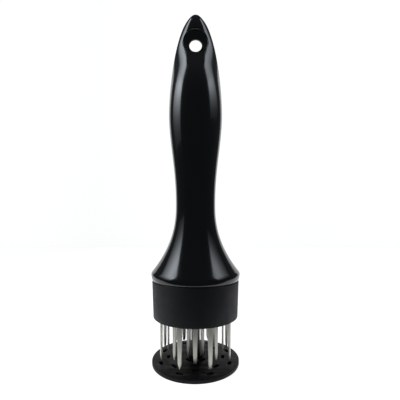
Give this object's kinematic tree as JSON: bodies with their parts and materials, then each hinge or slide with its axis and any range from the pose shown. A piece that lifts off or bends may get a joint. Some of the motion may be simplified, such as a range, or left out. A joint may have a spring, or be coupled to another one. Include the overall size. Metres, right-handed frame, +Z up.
{
  "type": "blade meat tenderizer",
  "caption": "Hand tool with a flared handle that drives rings of thin steel blades through a slotted, spring-loaded foot disc.",
  "frame": {"origin": "centre of the foot disc's flat underside, which is the bottom of the bounding box", "axes": "+Z up along the handle, and the hanging hole runs along Y"},
  "size_m": [0.051, 0.051, 0.2013],
  "materials": {
    "gloss_black_abs": "glossy",
    "matte_black_abs": "matte",
    "satin_black_abs": "satin",
    "black_acetal": "matte",
    "white_acetal": "satin",
    "blackened_steel": "satin",
    "plain_steel": "satin",
    "spring_wire": "satin",
    "blade_steel": "brushed"
  },
  "bodies": {
    "handle": {"handle_shell": "gloss_black_abs", "collar": "matte_black_abs", "blade_block": "black_acetal", "clamp_plate": "plain_steel", "post_bush": "white_acetal", "block_screws": "plain_steel", "return_spring": "spring_wire", "blade_outer_1": "blade_steel", "blade_outer_2": "blade_steel", "blade_outer_3": "blade_steel", "blade_outer_4": "blade_steel", "blade_outer_5": "blade_steel", "blade_outer_6": "blade_steel", "blade_outer_7": "blade_steel", "blade_outer_8": "blade_steel", "blade_middle_1": "blade_steel", "blade_middle_2": "blade_steel", "blade_middle_3": "blade_steel", "blade_middle_4": "blade_steel", "blade_middle_5": "blade_steel", "blade_middle_6": "blade_steel", "blade_middle_7": "blade_steel", "blade_middle_8": "blade_steel", "blade_inner_1": "blade_steel", "blade_inner_2": "blade_steel", "blade_inner_3": "blade_steel", "blade_inner_4": "blade_steel"},
    "foot": {"foot_plate": "satin_black_abs", "guide_post": "blackened_steel", "foot_screw": "plain_steel", "stop_washer": "plain_steel", "stop_screw": "plain_steel"}
  },
  "joints": [
    {"name": "foot_slide", "type": "slide", "parent": "handle", "child": "foot", "axis": [0, 0, 1], "range_m": [0, 0.02445], "stiffness_N_per_m": 400, "springref_m": -0.02, "deforming": ["return_spring"]}
  ]
}
